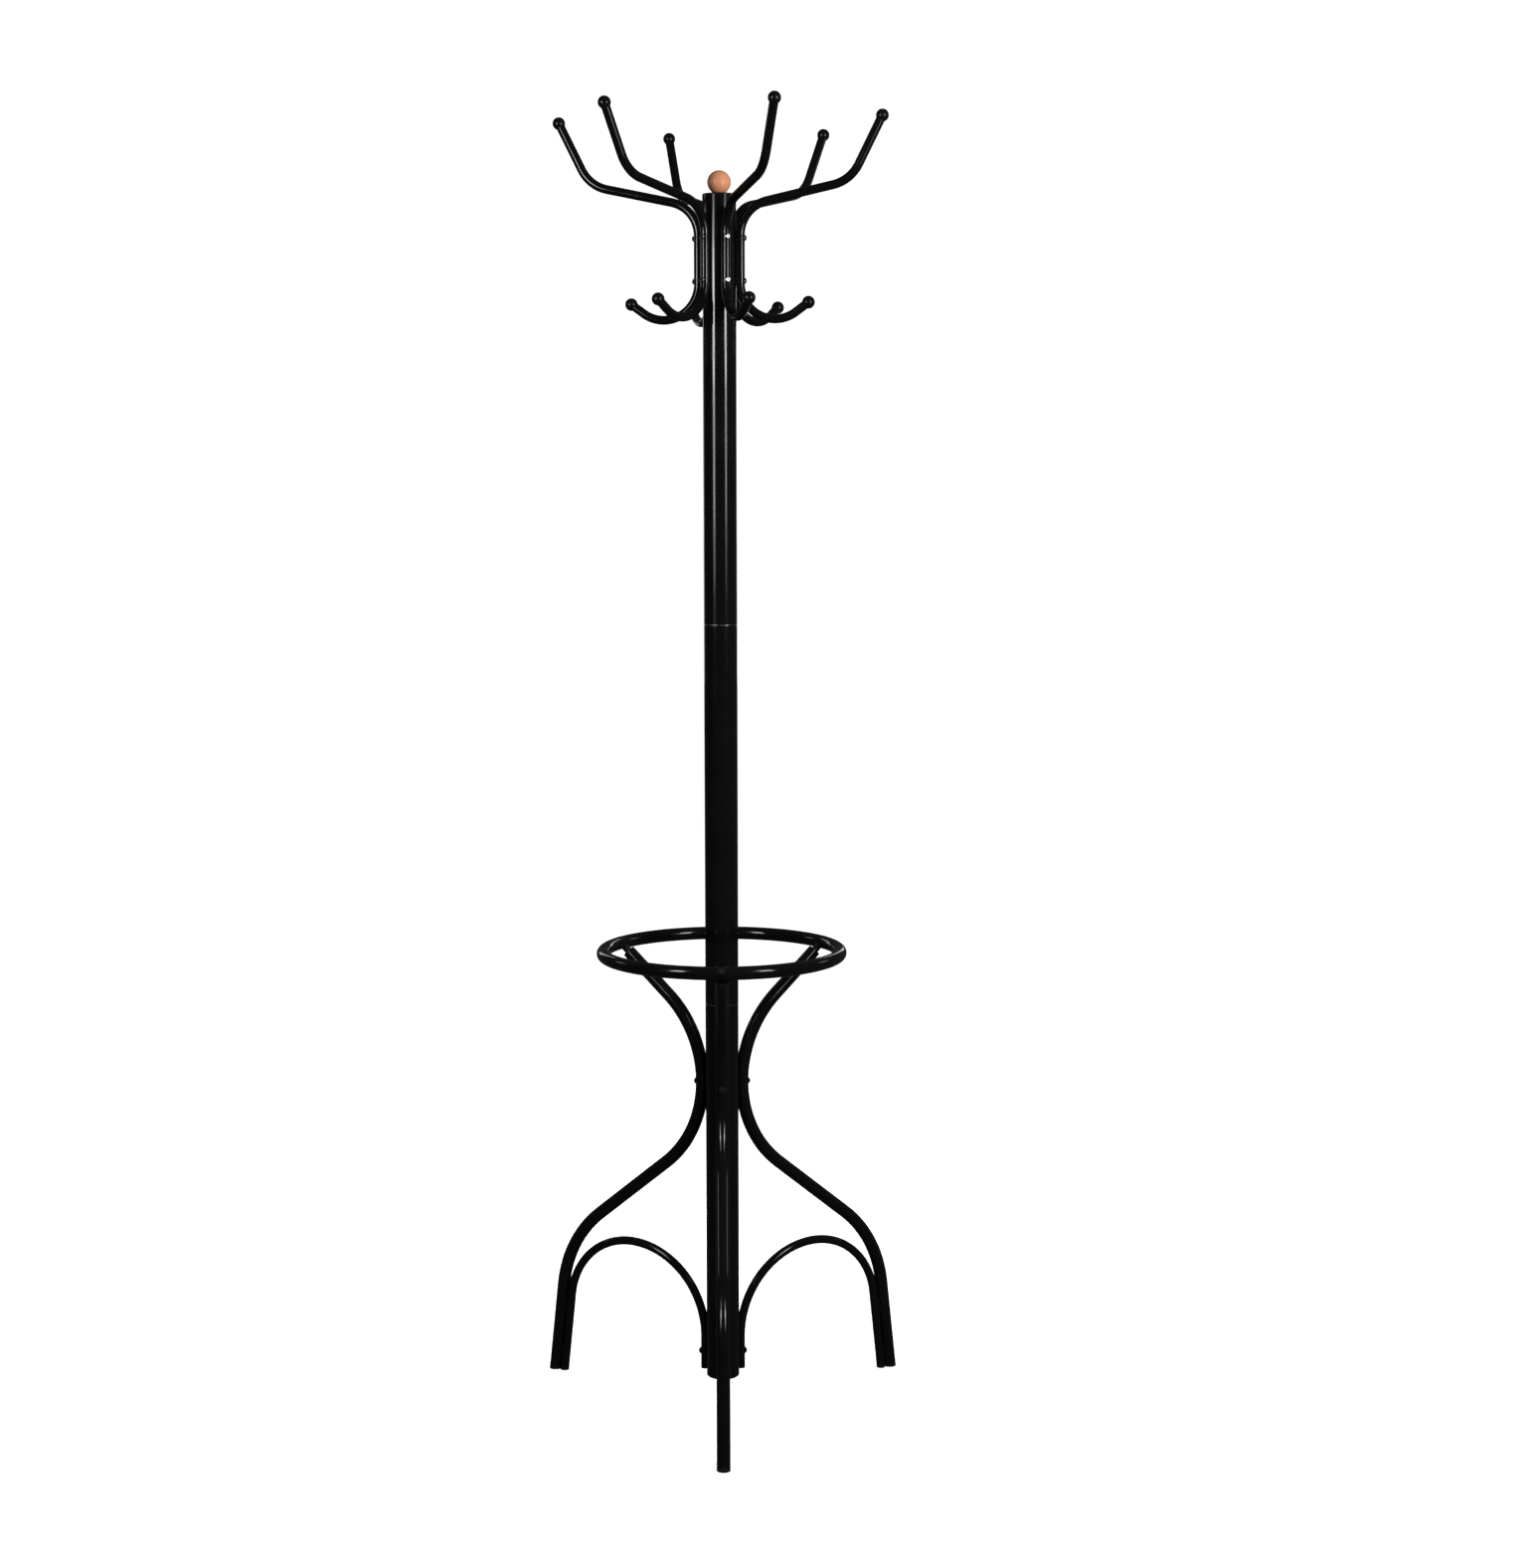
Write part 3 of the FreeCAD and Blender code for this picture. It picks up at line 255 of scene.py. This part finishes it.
def turned_wood(low, high):
    """Varnished beech: growth rings about a heart beside the ball, pores and short flecks."""
    shader = Shader("turned_wood")
    middle = (low + high) / 2
    heart = middle + Vector((34, 22, 0)) * MM
    ring_spacing = 2.6 * MM
    most_drift = 7 * MM
    wander = shader.noise(26.0, detail=2.0)
    drift = shader.math("MULTIPLY", shader.math("SUBTRACT", wander, 0.5), most_drift)
    across = shader.place(scale=(1, 1, 0.06), offset=heart)
    distance = shader.vector_math("LENGTH", across).outputs["Value"]
    drifted = shader.math("ADD", distance, drift)
    ring_phase = shader.math("MULTIPLY", drifted, 2 * math.pi / ring_spacing)
    ring = shader.span(shader.math("SINE", ring_phase), -1.0, 1.0)
    late_wood = shader.math("POWER", ring, 3.0)
    grain_place = shader.place(scale=(1, 1, 0.09), offset=middle)
    fibres = shader.noise(2400.0, detail=3.0, roughness=0.6, vector=grain_place)
    flecks = shader.span(shader.noise(900.0, detail=1.0, vector=grain_place), 0.60, 0.70)
    tone = shader.mix(late_wood, rgb(0.48, 0.208, 0.107), rgb(0.37, 0.148, 0.073))
    tone = shader.mix(shader.span(fibres, 0.35, 0.75, 0.0, 0.35), tone, rgb(0.30, 0.112, 0.047))
    tone = shader.mix(shader.math("MULTIPLY", flecks, 0.4), tone, rgb(0.22, 0.08, 0.034))
    pores = shader.bump(fibres, 0.015 * MM)
    shader.set(Base_Color=tone, Roughness=shader.span(fibres, 0.3, 0.7, 0.34, 0.5))
    shader.set(Normal=shader.bump(late_wood, 0.01 * MM, after=pores))
    shader.set(Coat_Weight=0.45, Coat_Roughness=0.14)
    return shader.material


def material_per_slot():
    return {
        "black_enamel": black_enamel(),
        "black_ball": black_ball(),
        "black_plastic": black_plastic(),
        "bright_screw": bright_screw(),
        "blackened_screw": blackened_screw(),
        "zinc_steel": zinc_steel(),
        "turned_wood": turned_wood(*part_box("finial_ball")),
    }


def dress_nodes(materials):
    """Give every CAD node its slot's material."""
    for part in frame["record"]["subparts"]:
        mesh = nodes[part["node"]].data
        mesh.materials.clear()
        mesh.materials.append(materials[part["material_slot"]])


def add_object(name, data):
    """Put a new object with this data into the scene."""
    thing = bpy.data.objects.new(name, data)
    bpy.context.scene.collection.objects.link(thing)
    return thing


# ---------------------------------------------------------------- welds


def radial(azimuth):
    turn = math.radians(azimuth)
    return Vector((math.cos(turn), math.sin(turn), 0))


def node_middle(node):
    low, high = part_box(node)
    return (low + high) / 2


def mesh_piece(name, mesh_data, material):
    """Turn a bmesh into a smooth-shaded piece that rides on the rack."""
    mesh = bpy.data.meshes.new(name)
    bmesh.ops.recalc_face_normals(mesh_data, faces=mesh_data.faces)
    mesh_data.to_mesh(mesh)
    mesh_data.free()
    for face in mesh.polygons:
        face.use_smooth = True
    mesh.materials.append(material)
    piece = add_object(name, mesh)
    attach(piece, BODY)


def add_bead(mesh_data, centres, radii, sideways, inward):
    """Closed bead: a ring of vertices round each centre, and a flat face at each end."""
    rings = []
    for centre, radius in zip(centres, radii):
        ring = []
        for side in range(WELD_SIDES):
            turn = 2 * math.pi * side / WELD_SIDES
            spread = sideways * math.cos(turn) + inward * math.sin(turn)
            ring.append(mesh_data.verts.new(centre + spread * radius))
        rings.append(ring)
    for near, far in zip(rings, rings[1:]):
        for side in range(WELD_SIDES):
            after = (side + 1) % WELD_SIDES
            mesh_data.faces.new((near[side], near[after], far[after], far[side]))
    for ring in (rings[0], rings[-1]):
        mesh_data.faces.new(ring)


def groove_shift():
    """How far inward and sideways of a leg's axis a bead's centre line lies."""
    spacing = LEG_RADIUS + BRACE_RADIUS
    to_leg = LEG_RADIUS + WELD_PROUD
    to_brace = BRACE_RADIUS + WELD_PROUD
    inward = (spacing**2 + to_leg**2 - to_brace**2) / (2 * spacing)
    return inward, math.sqrt(to_leg**2 - inward**2)


def bead_radius(travel, length, chance):
    """The bead's radius at a point along it: rippled, and thinner towards both ends."""
    trough, crest, unevenness, end_share = 0.82, 0.98, 0.015, 0.35
    swell = abs(math.sin(math.pi * travel / WELD_RIPPLE))
    rippled = trough + (crest - trough) * swell + chance.uniform(-unevenness, unevenness)
    fullness = min(1.0, travel / WELD_TAPER, (length - travel) / WELD_TAPER)
    taper = end_share + (1 - end_share) * math.sqrt(max(fullness, 0.0))
    return WELD_RADIUS * rippled * taper


def foot_weld(mesh_data, side, flank, start, length, chance):
    """Bead in the groove between a leg's foot and its brace, on one flank."""
    outward = radial(LEG_AZIMUTHS[side])
    sideways = UP.cross(outward) * flank
    slope = math.radians(FOOT_SLOPE)
    along = -outward * math.cos(slope) + UP * math.sin(slope)
    inward = -outward * math.sin(slope) - UP * math.cos(slope)
    inward_shift, side_shift = groove_shift()
    foot = node_middle(f"leg_foot_cap_{side}")
    foot.z = 0.0
    origin = foot + inward * inward_shift + sideways * side_shift
    steps = int(length / WELD_STEP)
    travels = [length * step / steps for step in range(steps + 1)]
    centres = [origin + along * (start + travel) for travel in travels]
    radii = [bead_radius(travel, length, chance) for travel in travels]
    add_bead(mesh_data, centres, radii, sideways, inward)


def make_foot_welds(material):
    """Two short welds on each flank hold a brace to its leg."""
    chance = random.Random(4)
    for side in LEG_AZIMUTHS:
        mesh_data = bmesh.new()
        for flank in (1, -1):
            for start, length in WELDS:
                foot_weld(mesh_data, side, flank, start, length, chance)
        mesh_piece(f"foot_welds_{side}", mesh_data, material)


# ---------------------------------------------------------------- floor, lights and camera


def make_floor(radius=60.0):
    """Plain pale disc that glows a little, so that it is as white as the surroundings."""
    mesh_data = bmesh.new()
    bmesh.ops.create_circle(mesh_data, cap_ends=True, segments=96, radius=radius)
    mesh = bpy.data.meshes.new("floor")
    mesh_data.to_mesh(mesh)
    mesh_data.free()
    floor = add_object("floor", mesh)
    shader = Shader("pale_floor")
    tone = shader.mix(shader.noise(3.0, detail=3.0), grey(0.90), grey(0.92))
    shader.set(Base_Color=tone, Roughness=0.9, Specular_IOR_Level=0.0)
    shader.set(Emission_Color=tone, Emission_Strength=0.66)
    mesh.materials.append(shader.material)
    floor.visible_glossy = False
    floor.visible_diffuse = False


def make_soft_box(name, azimuth, bottom, top, radiance, distance, width):
    """Upright soft box that faces the post; azimuth is from the camera's side, to the right."""
    height = top - bottom
    light = bpy.data.lights.new(name, "AREA")
    light.shape = "RECTANGLE"
    light.size = width
    light.size_y = height
    light.energy = math.pi * width * height * radiance
    lamp = add_object(name, light)
    turn = math.radians(azimuth)
    outward = Vector((math.sin(turn), -math.cos(turn), 0))
    lamp.location = outward * distance + UP * (bottom + top) / 2
    lamp.rotation_mode = "QUATERNION"
    lamp.rotation_quaternion = (-outward).to_track_quat("-Z", "Y")
    lamp.visible_camera = False
    return lamp


def make_front_boxes():
    """A column of boxes on each side, seen only in reflections, brightest at hook height."""
    # Bottom, top and radiance of each box in a column, from the lowest up.
    column = ((1.05, 1.18, 2.0), (1.18, 1.47, 5.5), (1.47, 1.75, 14.0), (1.75, 2.30, 3.5))
    for side, azimuth in (("left", -41.0), ("right", 41.0)):
        for number, (bottom, top, radiance) in enumerate(column, start=1):
            name = f"{side}_box_{number}"
            box = make_soft_box(name, azimuth, bottom, top, radiance, distance=2.0, width=0.45)
            box.visible_diffuse = False


def make_rim_boxes():
    """Weak pairs of boxes behind and beside, for the thin streaks near the tubes' sides."""
    for side, azimuth in (("left", -150.0), ("right", 160.0)):
        name = f"back_{side}_box"
        make_soft_box(name, azimuth, bottom=0.85, top=1.75, radiance=1.5, distance=2.0, width=0.25)
    for side, azimuth in (("left", -112.0), ("right", 112.0)):
        name = f"side_{side}_box"
        make_soft_box(name, azimuth, bottom=1.70, top=2.15, radiance=1.6, distance=3.0, width=0.6)


def make_fill_boxes():
    """Boxes that no reflection shows; they are there for the wood, in front and behind."""
    for name, azimuth, radiance in (("fill_box", 38.0, 37.0), ("back_fill_box", 180.0, 18.0)):
        fill = make_soft_box(name, azimuth, 1.3, 2.3, radiance, distance=2.5, width=0.9)
        fill.visible_glossy = False


def make_world(seen=1.15, above=0.45, below=0.12, mirrored=0.03):
    """White surroundings, darker from below; reflections see them dim, as black screens would."""
    world = bpy.data.worlds.new("studio")
    world.use_nodes = True
    bpy.context.scene.world = world
    tree = world.node_tree

    def blend(factor, low, high):
        """A node whose result runs from low to high as the factor runs from 0 to 1."""
        node = tree.nodes.new("ShaderNodeMapRange")
        for name, value in (("Value", factor), ("To Min", low), ("To Max", high)):
            if isinstance(value, bpy.types.NodeSocket):
                tree.links.new(value, node.inputs[name])
            else:
                node.inputs[name].default_value = value
        return node

    coordinates = tree.nodes.new("ShaderNodeTexCoord").outputs["Generated"]
    direction = tree.nodes.new("ShaderNodeSeparateXYZ")
    tree.links.new(coordinates, direction.inputs["Vector"])
    ray = tree.nodes.new("ShaderNodeLightPath")
    glow = blend(direction.outputs["Z"], below, above)
    glow.inputs["From Min"].default_value = -0.5
    glow.inputs["From Max"].default_value = 0.0
    lit = blend(ray.outputs["Is Camera Ray"], glow.outputs["Result"], seen)
    level = blend(ray.outputs["Is Glossy Ray"], lit.outputs["Result"], mirrored)
    background = tree.nodes["Background"]
    background.inputs["Color"].default_value = grey(1.0)
    tree.links.new(level.outputs["Result"], background.inputs["Strength"])


def make_camera():
    camera_data = bpy.data.cameras.new("camera")
    camera_data.lens = CAMERA_LENS
    camera_data.sensor_width = SENSOR
    camera_data.sensor_fit = "AUTO"
    camera = add_object("camera", camera_data)
    heading = Matrix.Rotation(math.radians(-CAMERA_RIGHT), 4, "Z")
    tilt = Matrix.Rotation(math.radians(90.0 - CAMERA_DOWN), 4, "X")
    roll = Matrix.Rotation(math.radians(-CAMERA_ROLL), 4, "Z")
    camera.matrix_world = Matrix.Translation(CAMERA_PLACE) @ heading @ tilt @ roll
    bpy.context.scene.camera = camera


def plain_colours():
    """Show colours as they are, with no film curve."""
    bpy.context.scene.view_settings.view_transform = "Standard"


materials = material_per_slot()
dress_nodes(materials)
make_foot_welds(materials["black_enamel"])
make_floor()
make_front_boxes()
make_rim_boxes()
make_fill_boxes()
make_world()
make_camera()
plain_colours()
